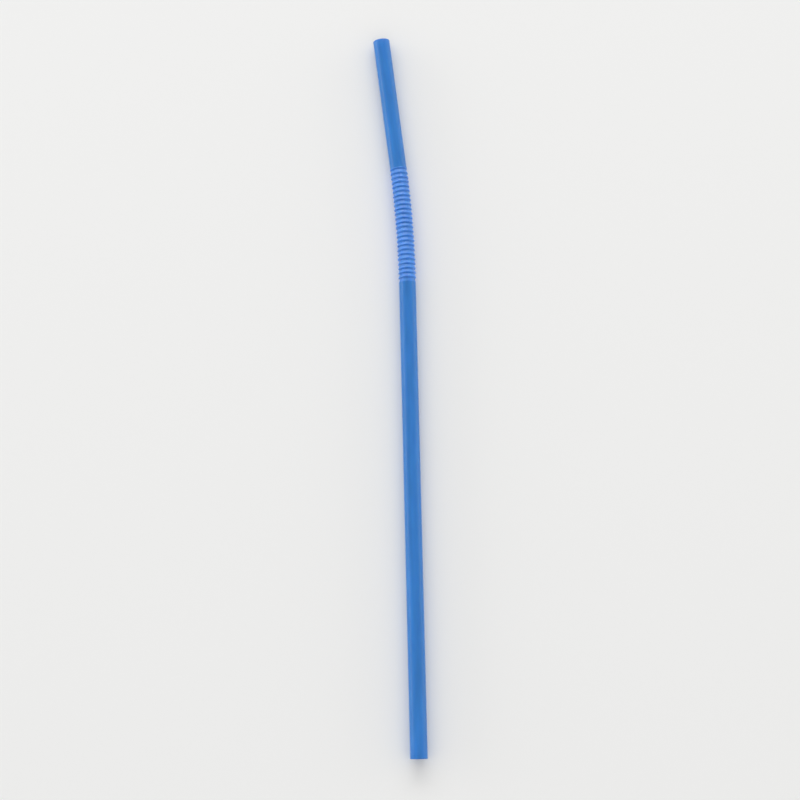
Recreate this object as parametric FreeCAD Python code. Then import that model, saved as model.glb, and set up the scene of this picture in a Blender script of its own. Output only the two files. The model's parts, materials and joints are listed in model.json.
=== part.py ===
import FreeCAD
import Part

import math
import os

# A flexible plastic drinking straw in one piece: a long plain tube, a
# concertina of folds and a short plain mouthpiece, all of one thin wall.
# The straw lies on its side with its bend flat on the floor, which is Z = 0.
# +Y runs up the long tube, and the folds lean the mouthpiece towards -X.
# Lengths are millimetres and angles are degrees.

# The tube
tube_diameter = 6.0         # outside, on both plain lengths
wall = 0.18                 # one thickness from end to end
body_length = 167.5         # plain tube that goes into the drink
mouth_length = 50.0         # plain tube above the folds
bend_angle = 6.0            # how far the folds lean the mouthpiece

# The folds
fold_count = 25
fold_pitch = 1.7            # from one ridge to the next, as drawn out here
steep_run = 0.4             # length along the straw of a fold's steep side
crest_diameter = 6.4        # outside, over the ridges
groove_diameter = 5.4       # outside, in the grooves

# Worked out from the sizes above
tube_radius = tube_diameter / 2
crest_radius = crest_diameter / 2
groove_radius = groove_diameter / 2
flex_length = fold_count * fold_pitch
straw_length = body_length + flex_length + mouth_length
bore_overrun = 2.0          # the bore's cutter passes both ends by this

UP = FreeCAD.Vector(0, 0, 1)


def outer_line():
    """The outside of the wall, as (way along the straw, radius) points."""
    line = [(0.0, tube_radius), (body_length, tube_radius)]
    for fold in range(fold_count):
        end = body_length + (fold + 1) * fold_pitch
        last = fold == fold_count - 1
        # the steep side of each groove is the one nearer the mouthpiece
        line.append((end - steep_run, groove_radius))
        line.append((end, tube_radius if last else crest_radius))
    line.append((straw_length, tube_radius))
    return line


def inner_line(line):
    """The same line one wall further in, with its corners mitred."""
    normals = []
    for (s0, r0), (s1, r1) in zip(line, line[1:]):
        length = math.hypot(s1 - s0, r1 - r0)
        normals.append(((r0 - r1) / length, (s1 - s0) / length))
    before = normals[:1] + normals
    after = normals + normals[-1:]
    moved = []
    for (s, r), (s0, r0), (s1, r1) in zip(line, before, after):
        share = wall / (1 + s0 * s1 + r0 * r1)
        moved.append((s - share * (s0 + s1), r - share * (r0 + r1)))
    return moved


def centre_at(along):
    """A point of the straw's centreline and the way the straw runs there."""
    bent = min(max(along - body_length, 0.0), flex_length)
    lean = math.radians(bend_angle * bent / flex_length)
    half = lean / 2
    chord = bent * math.sin(half) / half if half else bent
    way = FreeCAD.Vector(-math.sin(lean), math.cos(lean), 0)
    chord_way = FreeCAD.Vector(-math.sin(half), math.cos(half), 0)
    start = FreeCAD.Vector(0, body_length, 0)
    return start + chord_way * chord + way * (along - body_length - bent), way


def ring(along, radius):
    """A circle round the straw, square to its centreline."""
    point, way = centre_at(along)
    circle = Part.Circle(point, way, radius)
    # every circle starts at its top, so the walls between run straight
    circle.XAxis = UP
    return Part.Wire(circle.toShape())


def skin(line):
    """The solid inside one line of the wall, carried round the straw."""
    return Part.makeLoft([ring(s, r) for s, r in line], True, True)


def make_straw():
    outside = outer_line()
    bore = inner_line(outside)
    bore[0] = (-bore_overrun, bore[0][1])
    bore[-1] = (straw_length + bore_overrun, bore[-1][1])
    return skin(outside).cut(skin(bore)).Solids[0]


# The middle of the straw's box stands over the origin, on the floor
straw = make_straw()
box = straw.optimalBoundingBox(False)
shift = FreeCAD.Vector(-box.Center.x, -box.Center.y, -box.ZMin)
straw.translate(shift)

os.makedirs("parts", exist_ok=True)
straw.exportStep("parts/straw.step")

# Where things fit the straw: its two plain lengths, at their open ends
body_end, body_way = centre_at(0.0)
mouth_end, mouth_way = centre_at(straw_length)
print("body end", tuple(body_end + shift), "way out", tuple(-body_way))
print("mouth end", tuple(mouth_end + shift), "way out", tuple(mouth_way))
print("narrowest bore", 2 * min(r for s, r in inner_line(outer_line())))
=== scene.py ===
import json
import math

import bmesh
import bpy
from bpy.props import (
    FloatProperty,
    FloatVectorProperty,
    IntProperty,
    PointerProperty,
)
from mathutils import Matrix, Vector


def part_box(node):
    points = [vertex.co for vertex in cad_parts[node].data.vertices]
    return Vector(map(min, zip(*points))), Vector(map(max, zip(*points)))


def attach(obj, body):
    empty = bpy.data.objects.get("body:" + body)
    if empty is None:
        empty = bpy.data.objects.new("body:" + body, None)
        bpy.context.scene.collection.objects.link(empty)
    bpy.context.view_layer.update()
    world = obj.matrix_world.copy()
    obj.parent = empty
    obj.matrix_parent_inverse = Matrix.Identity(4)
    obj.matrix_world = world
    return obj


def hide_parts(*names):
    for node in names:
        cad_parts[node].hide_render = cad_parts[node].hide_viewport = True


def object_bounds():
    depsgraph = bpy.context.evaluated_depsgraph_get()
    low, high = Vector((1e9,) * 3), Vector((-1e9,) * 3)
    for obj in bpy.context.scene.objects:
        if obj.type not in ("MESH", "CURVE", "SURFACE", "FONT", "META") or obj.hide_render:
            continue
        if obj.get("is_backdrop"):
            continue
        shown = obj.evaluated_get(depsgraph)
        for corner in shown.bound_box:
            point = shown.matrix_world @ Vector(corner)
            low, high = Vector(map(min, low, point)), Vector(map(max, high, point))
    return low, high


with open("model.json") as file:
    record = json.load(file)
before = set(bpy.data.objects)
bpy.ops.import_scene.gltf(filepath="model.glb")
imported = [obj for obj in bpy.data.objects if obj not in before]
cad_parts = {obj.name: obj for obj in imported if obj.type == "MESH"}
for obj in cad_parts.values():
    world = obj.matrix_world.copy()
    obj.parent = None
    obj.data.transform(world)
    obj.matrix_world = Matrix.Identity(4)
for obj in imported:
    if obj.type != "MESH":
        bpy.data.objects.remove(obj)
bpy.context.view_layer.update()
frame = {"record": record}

bl_info = {
    "name": "Flexible Drinking Straw",
    "version": (1, 0, 0),
    "blender": (4, 5, 0),
    "location": "3D View > Sidebar > Straw",
    "description": "Makes a bendable plastic drinking straw that lies on a pale floor",
    "category": "Add Mesh",
}

MM = 0.001

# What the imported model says: its box, and the mounts on its two plain lengths
STRAW_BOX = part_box("straw")
MOUNTS = {mount["name"]: mount for mount in frame["record"]["mounts"]}
BODY_END = Vector(MOUNTS["body_outside"]["pos_m"])
BODY_LENGTH = MOUNTS["body_outside"]["dims"]["length_mm"] * MM
MOUTH_END = Vector(MOUNTS["mouth_outside"]["pos_m"])
MOUTH_LENGTH = MOUNTS["mouth_outside"]["dims"]["length_mm"] * MM
MOUTH_WAY = Vector(MOUNTS["mouth_outside"]["axis"])
TUBE_RADIUS = MOUNTS["body_outside"]["dims"]["r_mm"] * MM
BORE_RADIUS = MOUNTS["body_bore"]["dims"]["r_mm"] * MM
RIDGE_RADIUS = (STRAW_BOX[1][2] - STRAW_BOX[0][2]) / 2
BEND = math.atan2(-MOUTH_WAY.x, MOUTH_WAY.y)

# The folds run on an arc from the top of the long tube to the mouthpiece
FLEX_CHORD = (MOUTH_END - MOUTH_WAY * MOUTH_LENGTH - BODY_END - Vector((0, BODY_LENGTH, 0))).length
FLEX_LENGTH = FLEX_CHORD * (BEND / 2) / math.sin(BEND / 2)


class StrawShape(bpy.types.PropertyGroup):
    """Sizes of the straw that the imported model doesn't name"""

    fold_count: IntProperty(
        name="Folds", description="Number of pressed folds", default=25, min=1
    )
    steep_run: FloatProperty(
        name="Steep run", description="Length along the straw of a fold's steep side",
        default=0.4 * MM, unit="LENGTH", precision=5,
    )
    groove_radius: FloatProperty(
        name="Groove radius", description="Outside radius at the bottom of a groove",
        default=2.7 * MM, unit="LENGTH", precision=5,
    )
    lip_height: FloatProperty(
        name="Lip height", description="How far the lip at the mouthpiece stands proud",
        default=0.12 * MM, unit="LENGTH", precision=5,
    )
    ridge_rounding: FloatProperty(
        name="Ridge rounding", description="Radius of the bend on top of a ridge",
        default=0.26 * MM, unit="LENGTH", precision=5,
    )
    groove_rounding: FloatProperty(
        name="Groove rounding", description="Radius of the bend at the bottom of a groove",
        default=0.07 * MM, unit="LENGTH", precision=5,
    )
    unevenness: FloatProperty(
        name="Unevenness", description="How far a ridge or groove may lie from its place",
        default=0.05 * MM, unit="LENGTH", precision=5,
    )
    sway: FloatProperty(
        name="Sway", description="How far one side of a fold may run ahead of the other",
        default=0.09 * MM, unit="LENGTH", precision=5,
    )
    rim_radius: FloatProperty(
        name="Rim radius", description="Rounding of the cut ends",
        default=0.04 * MM, unit="LENGTH", precision=5,
    )
    sides: IntProperty(
        name="Sides", description="Facets round the straw", default=96, min=12
    )


class StrawFinish(bpy.types.PropertyGroup):
    """Colours and surface of the plastic"""

    blue: FloatVectorProperty(
        name="Blue", description="Colour of the plastic", subtype="COLOR",
        default=(0.020, 0.203, 0.600), min=0.0, max=1.0,
    )
    # Paler blue of the folded length: part stress whitening, part painted highlight
    worked_and_sheen_blue: FloatVectorProperty(
        name="Worked blue", description="Paler colour where the wall was folded",
        subtype="COLOR", default=(0.080, 0.288, 0.860), min=0.0, max=1.0,
    )
    cloudiness: FloatProperty(
        name="Cloudiness", description="How much the pigment's strength varies",
        default=0.20, min=0.0, max=1.0, subtype="FACTOR",
    )
    streakiness: FloatProperty(
        name="Streakiness", description="How much the colour varies in lengthwise streaks",
        default=0.10, min=0.0, max=1.0, subtype="FACTOR",
    )
    scuffing: FloatProperty(
        name="Scuffing", description="How much paler the fine scuffs are",
        default=0.10, min=0.0, max=1.0, subtype="FACTOR",
    )
    roughness: FloatProperty(
        name="Roughness", description="Roughness of the drawn surface", default=0.30,
        min=0.0, max=1.0, subtype="FACTOR",
    )


class StrawStage(bpy.types.PropertyGroup):
    """Floor, lights and camera"""

    floor_colour: FloatVectorProperty(
        name="Floor", description="Colour of the floor", subtype="COLOR",
        default=(0.93, 0.93, 0.92), min=0.0, max=1.0,
    )
    sky: FloatProperty(
        name="Sky", description="Strength of the even light from all round",
        default=0.70, min=0.0,
    )
    horizon: FloatProperty(
        name="Horizon", description="Strength of the light from the horizon",
        default=0.90, min=0.0,
    )
    left_power: FloatProperty(
        name="Left light", description="Power of the light on the left", default=1.5,
        min=0.0, unit="POWER",
    )
    right_power: FloatProperty(
        name="Right light", description="Power of the light on the right", default=0.9,
        min=0.0, unit="POWER",
    )
    top_power: FloatProperty(
        name="Top light", description="Power of the light beyond the mouthpiece",
        default=12.0, min=0.0, unit="POWER",
    )
    lens: FloatProperty(
        name="Lens", description="Focal length in millimetres", default=85.0,
        min=20.0, unit="CAMERA",
    )
    fill: FloatProperty(
        name="Fill", description="Share of the picture's height that the straw takes",
        default=0.92, min=0.1, max=1.0, subtype="FACTOR",
    )
    lean: FloatProperty(
        name="Lean", description="How far the long tube leans left in the picture",
        default=math.radians(1.3), subtype="ANGLE",
    )
    tip: FloatProperty(
        name="Tip", description="How far the camera stands towards the long tube's end",
        default=math.radians(12.0), subtype="ANGLE",
    )


class Field:
    """A number in a node tree, so that sums can be written as sums."""

    def __init__(self, tree, socket):
        self.tree = tree
        self.socket = socket

    def calc(self, operation, *others):
        made = self.tree.nodes.new("ShaderNodeMath")
        made.operation = operation
        for place, value in zip(made.inputs, (self, *others)):
            feed(self.tree, value, place)
        return Field(self.tree, made.outputs[0])

    def __add__(self, other):
        return self.calc("ADD", other)

    def __sub__(self, other):
        return self.calc("SUBTRACT", other)

    def __rsub__(self, other):
        return self * -1.0 + other

    def __mul__(self, other):
        return self.calc("MULTIPLY", other)

    def __truediv__(self, other):
        return self.calc("DIVIDE", other)

    def __rtruediv__(self, other):
        return self.calc("POWER", -1.0) * other

    def __lt__(self, other):
        return self.calc("LESS_THAN", other)

    def __gt__(self, other):
        return self.calc("GREATER_THAN", other)

    def at_least(self, other):
        return self.calc("MAXIMUM", other)

    def at_most(self, other):
        return self.calc("MINIMUM", other)


def feed(tree, value, socket):
    """Links a field or socket to an input, or sets the input's own value."""
    if isinstance(value, Field):
        tree.links.new(value.socket, socket)
    elif isinstance(value, bpy.types.NodeSocket):
        tree.links.new(value, socket)
    else:
        socket.default_value = value


def add_node(tree, kind, inputs=None, **settings):
    """A new node with its options set and its inputs fed by name or number."""
    made = tree.nodes.new(kind)
    for name, value in settings.items():
        setattr(made, name, value)
    for key, value in (inputs or {}).items():
        feed(tree, value, made.inputs[key])
    return made


def as_vector(tree, x, y, z):
    """Three numbers as one vector output."""
    return add_node(tree, "ShaderNodeCombineXYZ", {0: x, 1: y, 2: z}).outputs[0]


def as_numbers(tree, vector):
    """The X, Y and Z of a vector as three outputs."""
    return add_node(tree, "ShaderNodeSeparateXYZ", {0: vector}).outputs


def position(tree):
    """Where each point is, as three outputs."""
    return as_numbers(tree, tree.nodes.new("GeometryNodeInputPosition").outputs[0])


def captured(tree, geometry, value):
    """Keeps a number on each point as it is now. Returns the geometry and the number."""
    made = tree.nodes.new("GeometryNodeCaptureAttribute")
    made.capture_items.new("FLOAT", "Value")
    feed(tree, geometry, made.inputs[0])
    feed(tree, value, made.inputs[1])
    return made.outputs[0], Field(tree, made.outputs[1])


def stored(tree, geometry, name, value, kind="FLOAT"):
    """Stores a value on each point of the mesh under a name."""
    inputs = {"Geometry": geometry, "Name": name, "Value": value}
    made = add_node(tree, "GeometryNodeStoreNamedAttribute", inputs, data_type=kind, domain="POINT")
    return made.outputs[0]


STRAW_INPUTS = (
    ("Body End", "NodeSocketVector"),
    ("Tube Radius", "NodeSocketFloat"),
    ("Body Length", "NodeSocketFloat"),
    ("Mouth Length", "NodeSocketFloat"),
    ("Flex Length", "NodeSocketFloat"),
    ("Bend", "NodeSocketFloat"),
    ("Fold Count", "NodeSocketInt"),
    ("Steep Run", "NodeSocketFloat"),
    ("Ridge Radius", "NodeSocketFloat"),
    ("Groove Radius", "NodeSocketFloat"),
    ("Lip Height", "NodeSocketFloat"),
    ("Ridge Rounding", "NodeSocketFloat"),
    ("Groove Rounding", "NodeSocketFloat"),
    ("Unevenness", "NodeSocketFloat"),
    ("Sway", "NodeSocketFloat"),
    ("Seed", "NodeSocketInt"),
    ("Sides", "NodeSocketInt"),
    ("Material", "NodeSocketMaterial"),
)

# Steps that round off one corner of the wall, and cuts along the plain lengths
CORNER_STEPS = 4
BODY_CUTS = 60
MOUTH_CUTS = 20

# Steps that round off a rim, which is any edge of the wall sharper than this angle
RIM_STEPS = 2
RIM_ANGLE = math.radians(70)

# A smaller lean than this counts as this, so that nothing is divided by zero
LEAST_LEAN = 1e-6

# How quickly the paler colour at a ridge's top, part stress whitening and part painted highlight,
# fades down a fold's sides towards the painted groove shade
CREST_SHEEN_FADE = 1.5

# The seed of every random number in the folds
SEED = 7


def index_of(tree):
    """The number of each point along its line."""
    return Field(tree, tree.nodes.new("GeometryNodeInputIndex").outputs[0])


def chance(tree, size, step, draw=None):
    """A number from -1 to 1 for each point, or for each value of draw."""
    made = tree.nodes.new("FunctionNodeRandomValue")
    made.data_type = "FLOAT"
    shown = {socket.name: socket for socket in made.inputs if socket.enabled}
    feed(tree, -1.0, shown["Min"])
    feed(tree, 1.0, shown["Max"])
    feed(tree, size["Seed"] + float(step), shown["Seed"])
    if draw is not None:
        feed(tree, draw, shown["ID"])
    return Field(tree, next(socket for socket in made.outputs if socket.enabled))


def wall_line(tree, size):
    """The outside of the wall as a curve: X is the radius and Y the way along.

    Point 0 is the straw's lower end and point 1 the top of the long tube. Then
    grooves and ridges take turns. The last ridge is a low lip, and after it come
    the mouthpiece's two ends.
    """
    folds = size["Fold Count"]
    pitch = size["Flex Length"] / folds

    # steps count from the top of the long tube: odd ones are grooves, even ones ridges
    step = index_of(tree) - 1.0
    lip_step = folds * 2.0
    fold = (step / 2.0).calc("FLOOR")
    in_groove = step - fold * 2.0
    on_ridge = 1.0 - in_groove

    # they are whole numbers, so each of these tests lies halfway between two
    first = step < -0.5
    creased = (step > 0.5) * (step < lip_step - 0.5)
    lip = (step > lip_step - 0.5) * (step < lip_step + 0.5)
    lip_foot = (step > lip_step + 0.5) * (step < lip_step + 1.5)
    last = step > lip_step + 1.5

    steep_run = size["Steep Run"]
    slip = chance(tree, size, 1) * creased * size["Unevenness"]
    along = size["Body Length"] + fold * pitch + in_groove * (pitch - steep_run) + slip
    whole = size["Body Length"] + size["Flex Length"] + size["Mouth Length"]
    foot = size["Body Length"] + size["Flex Length"] + size["Steep Run"]
    along = along * (1.0 - first) * (1.0 - lip_foot) * (1.0 - last)
    along = along + foot * lip_foot + whole * last

    # rounding cuts a corner back, so each corner starts that much further out
    depth = size["Ridge Radius"] - size["Groove Radius"]
    steep = (depth / steep_run).calc("ARCTANGENT")
    slant = (depth / (pitch - steep_run)).calc("ARCTANGENT")
    cut_back = 1.0 / ((steep + slant) / 2.0).calc("COSINE") - 1.0
    sunk = (chance(tree, size, 2) * size["Unevenness"]).calc("ABSOLUTE")
    ridge = size["Ridge Radius"] + size["Ridge Rounding"] * cut_back - sunk
    groove = size["Groove Radius"] - size["Groove Rounding"] * cut_back
    folded = ridge * on_ridge + groove * in_groove
    plain = size["Tube Radius"]
    radius = plain + (folded - plain) * creased + size["Lip Height"] * lip

    count = lip_step + 4.0
    points = add_node(tree, "GeometryNodeMeshLine", {"Count": count}, mode="OFFSET").outputs[0]
    side_sway = chance(tree, size, 3, fold) * creased * size["Sway"]
    top_sway = chance(tree, size, 4, fold) * creased * size["Sway"]
    points, side_sway = captured(tree, points, side_sway)
    points, top_sway = captured(tree, points, top_sway)
    placed = add_node(tree, "GeometryNodeSetPosition", {
        "Geometry": points, "Position": as_vector(tree, radius, along, 0.0)})
    curve = add_node(tree, "GeometryNodeMeshToCurve", {0: placed.outputs[0]})
    rounding = size["Ridge Rounding"] * on_ridge + size["Groove Rounding"] * in_groove
    rounded = add_node(tree, "GeometryNodeFilletCurve", {
        "Curve": curve.outputs[0], "Radius": rounding, "Limit Radius": True,
        "Count": CORNER_STEPS}, mode="POLY")

    # every point but the first and the last is a rounded corner by now
    corner_points = (lip_step + 2.0) * float(CORNER_STEPS + 1)
    point = index_of(tree)
    cuts = (point < 0.5) * float(BODY_CUTS) + (point > corner_points - 0.5) * float(MOUTH_CUTS)
    cut = add_node(tree, "GeometryNodeSubdivideCurve", {"Curve": rounded.outputs[0], "Cuts": cuts})
    return cut.outputs[0], side_sway, top_sway


def lean_at(size, along):
    """How far the straw leans at a way along it, and how much of the arc is behind."""
    bent = (along - size["Body Length"]).at_least(0.0).at_most(size["Flex Length"])
    return size["Bend"] * bent / size["Flex Length"], bent


def centre_line(tree, size, along):
    """The straw's centreline at a way along it: straight, an arc, straight."""
    lean, bent = lean_at(size, along)
    half = (lean / 2.0).at_least(LEAST_LEAN)
    chord = bent * half.calc("SINE") / half
    straight = along - size["Body Length"] - bent
    x = (chord * half.calc("SINE") + straight * lean.calc("SINE")) * -1.0
    y = size["Body Length"] + chord * half.calc("COSINE") + straight * lean.calc("COSINE")
    start = add_node(tree, "ShaderNodeVectorMath", {
        0: size["Body End"], 1: as_vector(tree, x, y, 0.0)}, operation="ADD")
    return start.outputs[0]


def make_straw_tree():
    """Carries the wall's line round the straw's centreline."""
    tree = bpy.data.node_groups.new("Folded Straw", "GeometryNodeTree")
    for name, kind in STRAW_INPUTS:
        tree.interface.new_socket(name, in_out="INPUT", socket_type=kind)
    tree.interface.new_socket("Mesh", in_out="OUTPUT", socket_type="NodeSocketGeometry")
    entry = tree.nodes.new("NodeGroupInput")
    size = {name: Field(tree, entry.outputs[name]) for name, kind in STRAW_INPUTS}

    line, side_sway, top_sway = wall_line(tree, size)
    place = position(tree)
    line, radius = captured(tree, line, place[0])
    line, along = captured(tree, line, place[1])
    path = add_node(tree, "GeometryNodeSetPosition", {
        "Geometry": line, "Position": centre_line(tree, size, along)})

    circle = add_node(tree, "GeometryNodeCurvePrimitiveCircle", {
        "Resolution": size["Sides"], "Radius": 1.0}, mode="RADIUS")
    round_place = position(tree)
    section, side = captured(tree, circle.outputs[0], round_place[0])
    section, top = captured(tree, section, round_place[1])
    tube = add_node(tree, "GeometryNodeCurveToMesh", {
        "Curve": path.outputs[0], "Profile Curve": section, "Scale": radius})

    lean, bent = lean_at(size, along)
    ahead = side * side_sway + top * top_sway
    shift = as_vector(tree, ahead * lean.calc("SINE") * -1.0, ahead * lean.calc("COSINE"), 0.0)
    swayed = add_node(tree, "GeometryNodeSetPosition", {
        "Geometry": tube.outputs[0], "Offset": shift})

    # where each point would be on a plain straight straw, and how near a ridge's top it is, which
    # paints the ridge tops paler (part stress whitening, part painted highlight) and leaves the
    # grooves darker (painted shade)
    unbent = as_vector(tree, side * size["Tube Radius"], along, top * size["Tube Radius"])
    mesh = stored(tree, swayed.outputs[0], "unbent", unbent, "FLOAT_VECTOR")
    lip_top = size["Body Length"] + size["Flex Length"] + size["Steep Run"] / 2.0
    folded = (bent > 0.0) * (along < lip_top)
    middle = (size["Ridge Radius"] + size["Groove Radius"]) / 2.0
    reach = (size["Ridge Radius"] - size["Groove Radius"]) / 2.0
    crest_whitening_and_sheen = ((radius - middle) / reach).at_least(0.0).calc("POWER", CREST_SHEEN_FADE)
    mesh = stored(tree, mesh, "folded", folded)
    mesh = stored(tree, mesh, "crest_whitening_and_sheen", crest_whitening_and_sheen * folded)

    smooth = add_node(tree, "GeometryNodeSetShadeSmooth", {"Geometry": mesh, "Shade Smooth": True})
    real = add_node(tree, "GeometryNodeRealizeInstances", {"Geometry": smooth.outputs[0]})
    finished = add_node(tree, "GeometryNodeSetMaterial", {
        "Geometry": real.outputs[0], "Material": size["Material"]})
    leave = tree.nodes.new("NodeGroupOutput")
    tree.links.new(finished.outputs[0], leave.inputs[0])
    return tree


def set_modifier_inputs(modifier, values):
    """Sets a tree's inputs by their identifiers."""
    for item in modifier.node_group.interface.items_tree:
        if item.item_type == "SOCKET" and item.in_out == "INPUT":
            modifier[item.identifier] = values[item.name]


def make_plain_mesh(piece):
    """Turns the piece's modifiers into its mesh and removes them."""
    depsgraph = bpy.context.evaluated_depsgraph_get()
    mesh = bpy.data.meshes.new_from_object(piece.evaluated_get(depsgraph), depsgraph=depsgraph)
    piece.modifiers.clear()
    piece.data = mesh


# How finely each noise on the plastic changes, across the straw, along it and up,
# in spots to a metre. All are stretched along the straw, as it was drawn
LINES_GRAIN = (2600.0, 9.0, 2600.0)
STREAKS_GRAIN = (900.0, 14.0, 900.0)
PIGMENT_GRAIN = (420.0, 60.0, 420.0)
RIPPLE_GRAIN = (450.0, 70.0, 450.0)
SCUFFS_GRAIN = (3200.0, 260.0, 3200.0)

# Scuffs are where their noise passes this, and how sharply they start there
SCUFFS_FROM = 0.35
SCUFFS_EDGE = 4.0

# How deep the drawn lines and the ripple are, and how much duller the scuffs are
LINES_DEPTH = 0.006 * MM
RIPPLE_DEPTH = 0.035 * MM
SCUFFS_DULLNESS = 0.2

# Polypropylene: light goes into it a little way, and blue light the furthest
PLASTIC_IOR = 1.49
LIGHT_INSIDE = 0.5
LIGHT_REACH = 0.45 * MM
LIGHT_REACH_BY_COLOUR = (0.25, 0.6, 1.0)


def make_straw_plastic(finish):
    """Blue drawn plastic: fine lengthwise lines, soft sheen, and paler where folded, from stress
    whitening and a painted highlight, with painted shade towards the grooves.
    """
    material = bpy.data.materials.new("straw_plastic")
    material.use_nodes = True
    tree = material.node_tree
    shader = tree.nodes["Principled BSDF"]

    def attribute(name, output):
        return add_node(tree, "ShaderNodeAttribute", attribute_name=name).outputs[output]

    unbent = attribute("unbent", "Vector")
    folded = Field(tree, attribute("folded", "Fac"))
    crest_whitening_and_sheen = Field(tree, attribute("crest_whitening_and_sheen", "Fac"))

    def noise(grain, detail):
        """Noise from -1 to 1 on the straw as it would be if it were straight."""
        stretched = add_node(tree, "ShaderNodeMapping", {"Vector": unbent, "Scale": grain})
        made = add_node(tree, "ShaderNodeTexNoise", {
            "Vector": stretched.outputs[0], "Scale": 1.0, "Detail": detail})
        return (Field(tree, made.outputs["Fac"]) - 0.5) * 2.0

    drawn_lines = noise(LINES_GRAIN, detail=2.0)
    streaks = noise(STREAKS_GRAIN, detail=1.0)
    pigment = noise(PIGMENT_GRAIN, detail=2.0)
    ripple = noise(RIPPLE_GRAIN, detail=1.0)
    scuffs = (noise(SCUFFS_GRAIN, detail=4.0) - SCUFFS_FROM) * SCUFFS_EDGE
    scuffs = scuffs.at_least(0.0).at_most(1.0)

    # the folds are paler all along and palest on the ridge tops: part stress whitening, part
    # painted highlight, with painted shade in the grooves
    # a Mix node keeps its factor at 0, its two colours at 6 and 7, and its colour out at 2
    worked_and_sheen = (folded + crest_whitening_and_sheen) / 2.0
    blue = add_node(tree, "ShaderNodeMix", {
        0: worked_and_sheen, 6: (*finish.blue, 1.0), 7: (*finish.worked_and_sheen_blue, 1.0)}, data_type="RGBA")
    clouding = pigment * finish.cloudiness + streaks * finish.streakiness
    shade = clouding + scuffs * finish.scuffing + 1.0
    coloured = add_node(tree, "ShaderNodeVectorMath", {
        0: blue.outputs[2], "Scale": shade}, operation="SCALE")
    roughness = scuffs * SCUFFS_DULLNESS + finish.roughness

    lines_bump = add_node(tree, "ShaderNodeBump", {
        "Strength": 1.0, "Distance": LINES_DEPTH, "Height": drawn_lines})
    ripple_bump = add_node(tree, "ShaderNodeBump", {
        "Strength": 1.0, "Distance": RIPPLE_DEPTH, "Height": ripple,
        "Normal": lines_bump.outputs[0]})

    tree.links.new(coloured.outputs[0], shader.inputs["Base Color"])
    feed(tree, roughness, shader.inputs["Roughness"])
    tree.links.new(ripple_bump.outputs[0], shader.inputs["Normal"])
    shader.inputs["IOR"].default_value = PLASTIC_IOR
    shader.inputs["Subsurface Weight"].default_value = LIGHT_INSIDE
    shader.inputs["Subsurface Radius"].default_value = LIGHT_REACH_BY_COLOUR
    shader.inputs["Subsurface Scale"].default_value = LIGHT_REACH
    return material


# The floor is a disc, painted with a fine dull tooth
FLOOR_REACH = 1.6
FLOOR_SIDES = 128
FLOOR_ROUGHNESS = 0.75
TOOTH_GRAIN = 900.0
TOOTH_DETAIL = 3.0
TOOTH_DEPTH = 0.05 * MM
TOOTH_STRENGTH = 0.08

# The sky is white, and reaches its even light at this height from 0 to 1
SKY_COLOUR = (1.0, 1.0, 1.0, 1.0)
SKY_BAND = 0.35

# Each light's place from the middle of the straw, its width and height, and its spread
LIGHTS = {
    "left_light": (Vector((-1.70, 0.60, 0.34)), 2.6, 0.42, math.radians(70)),
    "right_light": (Vector((1.75, 0.55, 0.35)), 2.6, 0.42, math.radians(70)),
    "top_light": (Vector((-0.15, 2.30, 1.25)), 4.0, 1.0, math.radians(100)),
}


def make_floor_paint(colour):
    """Pale matt paint with a fine tooth."""
    material = bpy.data.materials.new("floor_paint")
    material.use_nodes = True
    tree = material.node_tree
    shader = tree.nodes["Principled BSDF"]
    place = tree.nodes.new("ShaderNodeTexCoord").outputs["Object"]
    tooth = add_node(tree, "ShaderNodeTexNoise", {
        "Vector": place, "Scale": TOOTH_GRAIN, "Detail": TOOTH_DETAIL})
    bump = add_node(tree, "ShaderNodeBump", {
        "Strength": TOOTH_STRENGTH, "Distance": TOOTH_DEPTH, "Height": tooth.outputs["Fac"]})
    tree.links.new(bump.outputs[0], shader.inputs["Normal"])
    shader.inputs["Base Color"].default_value = (*colour, 1.0)
    shader.inputs["Roughness"].default_value = FLOOR_ROUGHNESS
    return material


def make_sky(stage):
    """Even light from all round, a little brighter towards the horizon."""
    world = bpy.data.worlds.new("soft_sky")
    world.use_nodes = True
    tree = world.node_tree
    sky = tree.nodes["Background"]
    sky.inputs["Color"].default_value = SKY_COLOUR
    way = as_numbers(tree, tree.nodes.new("ShaderNodeTexCoord").outputs["Generated"])
    height = (Field(tree, way[2]) / SKY_BAND).at_least(0.0).at_most(1.0)
    feed(tree, height * (stage.sky - stage.horizon) + stage.horizon, sky.inputs["Strength"])
    return world


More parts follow.
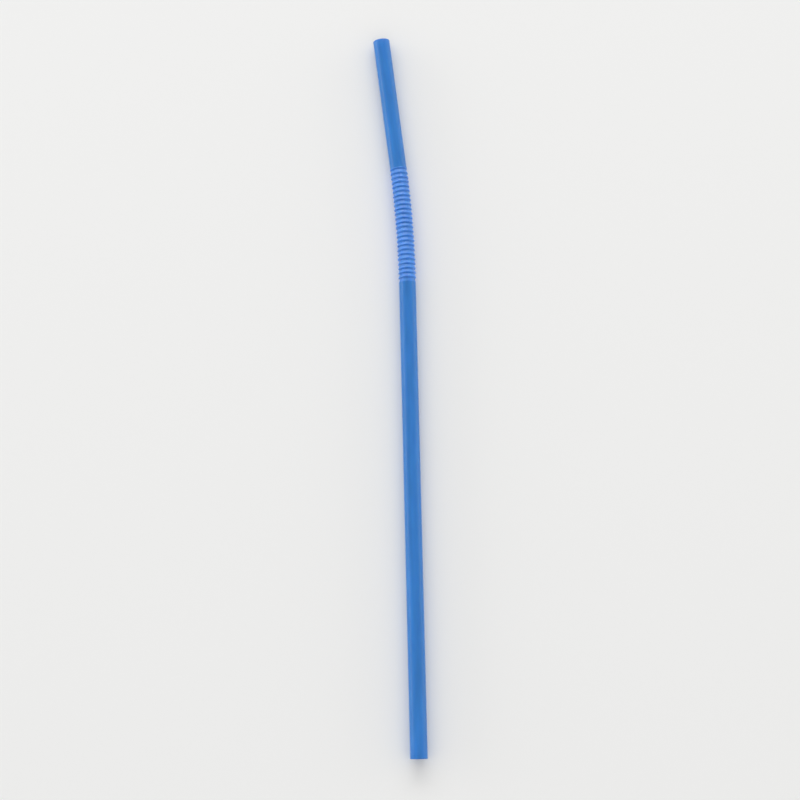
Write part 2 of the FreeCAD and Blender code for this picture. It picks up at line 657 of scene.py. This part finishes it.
class STRAW_OT_make_straw(bpy.types.Operator):
    """Makes the straw as one thin wall, with its folds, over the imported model"""

    bl_idname = "straw.make_straw"
    bl_label = "Make straw"

    def execute(self, context):
        shape = context.scene.straw_shape
        material = make_straw_plastic(context.scene.straw_finish)
        straw = bpy.data.objects.new("folded_straw", bpy.data.meshes.new("folded_straw"))
        context.scene.collection.objects.link(straw)

        folding = straw.modifiers.new("Folds", "NODES")
        folding.node_group = make_straw_tree()
        set_modifier_inputs(folding, {
            "Body End": BODY_END,
            "Tube Radius": TUBE_RADIUS,
            "Body Length": BODY_LENGTH,
            "Mouth Length": MOUTH_LENGTH,
            "Flex Length": FLEX_LENGTH,
            "Bend": BEND,
            "Fold Count": shape.fold_count,
            "Steep Run": shape.steep_run,
            "Ridge Radius": RIDGE_RADIUS,
            "Groove Radius": shape.groove_radius,
            "Lip Height": shape.lip_height,
            "Ridge Rounding": shape.ridge_rounding,
            "Groove Rounding": shape.groove_rounding,
            "Unevenness": shape.unevenness,
            "Sway": shape.sway,
            "Seed": SEED,
            "Sides": shape.sides,
            "Material": material,
        })
        wall = straw.modifiers.new("Wall", "SOLIDIFY")
        wall.thickness = TUBE_RADIUS - BORE_RADIUS
        wall.offset = -1.0  # inwards only
        wall.use_even_offset = True
        rims = straw.modifiers.new("Rims", "BEVEL")
        rims.width = shape.rim_radius
        rims.segments = RIM_STEPS
        rims.limit_method = "ANGLE"
        rims.angle_limit = RIM_ANGLE
        make_plain_mesh(straw)
        if not straw.data.polygons:
            raise RuntimeError("the straw came out empty")

        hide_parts("straw")
        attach(straw, "root")
        return {"FINISHED"}


class STRAW_OT_make_stage(bpy.types.Operator):
    """Makes the pale floor, the soft lights and the camera that looks down"""

    bl_idname = "straw.make_stage"
    bl_label = "Make stage"

    def execute(self, context):
        stage = context.scene.straw_stage
        low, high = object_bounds()
        centre = (low + high) / 2
        length = high.y - low.y
        self.make_floor(context, stage, low.z)
        self.make_lights(context, stage, centre)
        self.make_camera(context, stage, centre, length)
        return {"FINISHED"}

    def make_floor(self, context, stage, height):
        """A round floor that reaches well past the straw."""
        disc = bmesh.new()
        bmesh.ops.create_circle(disc, cap_ends=True, segments=FLOOR_SIDES, radius=FLOOR_REACH)
        bmesh.ops.translate(disc, vec=(0.0, 0.0, height), verts=disc.verts)
        mesh = bpy.data.meshes.new("floor")
        disc.to_mesh(mesh)
        disc.free()
        mesh.materials.append(make_floor_paint(stage.floor_colour))
        floor = bpy.data.objects.new("floor", mesh)
        context.scene.collection.objects.link(floor)
        floor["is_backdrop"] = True

    def make_lights(self, context, stage, centre):
        """Long soft boxes each side of the straw, one beyond its mouthpiece, and the sky."""
        powers = {
            "left_light": stage.left_power,
            "right_light": stage.right_power,
            "top_light": stage.top_power,
        }
        for name, (place, width, height, spread) in LIGHTS.items():
            light = bpy.data.lights.new(name, "AREA")
            light.shape = "RECTANGLE"
            light.size = width
            light.size_y = height
            light.spread = spread
            light.energy = powers[name]
            lamp = bpy.data.objects.new(name, light)
            lamp.location = centre + place
            lamp.rotation_euler = (-place).to_track_quat("-Z", "Y").to_euler()
            lamp.visible_camera = False
            context.scene.collection.objects.link(lamp)
        context.scene.world = make_sky(stage)
        context.scene.view_settings.view_transform = "Standard"

    def make_camera(self, context, stage, centre, length):
        """Above the straw and towards the long tube's end, which is at the bottom."""
        camera = bpy.data.objects.new("camera", bpy.data.cameras.new("camera"))
        camera.data.lens = stage.lens
        shown = length / stage.fill
        distance = shown * stage.lens / camera.data.sensor_width
        turn = Matrix.Rotation(-stage.lean, 4, "Z") @ Matrix.Rotation(stage.tip, 4, "X")
        # the nearer end looks larger, so the camera aims that much towards it
        nearer = (length / 2) ** 2 * math.sin(stage.tip) / distance
        aim = centre - Vector((0, nearer, 0))
        camera.location = aim + turn @ Vector((0, 0, distance))
        camera.rotation_euler = turn.to_euler()
        context.scene.collection.objects.link(camera)
        context.scene.camera = camera


class STRAW_PT_panel(bpy.types.Panel):
    """Lists the sizes, finish and stage, and a button for each piece"""

    bl_label = "Drinking straw"
    bl_idname = "STRAW_PT_panel"
    bl_space_type = "VIEW_3D"
    bl_region_type = "UI"
    bl_category = "Straw"

    def draw(self, context):
        scene = context.scene
        for group in (scene.straw_shape, scene.straw_finish, scene.straw_stage):
            box = self.layout.box()
            for name in group.__annotations__:
                box.prop(group, name)
        self.layout.operator(STRAW_OT_make_straw.bl_idname)
        self.layout.operator(STRAW_OT_make_stage.bl_idname)


CLASSES = (
    StrawShape,
    StrawFinish,
    StrawStage,
    STRAW_OT_make_straw,
    STRAW_OT_make_stage,
    STRAW_PT_panel,
)


def register():
    for cls in CLASSES:
        bpy.utils.register_class(cls)
    bpy.types.Scene.straw_shape = PointerProperty(type=StrawShape)
    bpy.types.Scene.straw_finish = PointerProperty(type=StrawFinish)
    bpy.types.Scene.straw_stage = PointerProperty(type=StrawStage)


def unregister():
    del bpy.types.Scene.straw_stage
    del bpy.types.Scene.straw_finish
    del bpy.types.Scene.straw_shape
    for cls in reversed(CLASSES):
        bpy.utils.unregister_class(cls)


def main():
    """Makes the straw and its stage."""
    register()
    bpy.ops.straw.make_straw()
    bpy.ops.straw.make_stage()


if __name__ == "__main__":
    main()
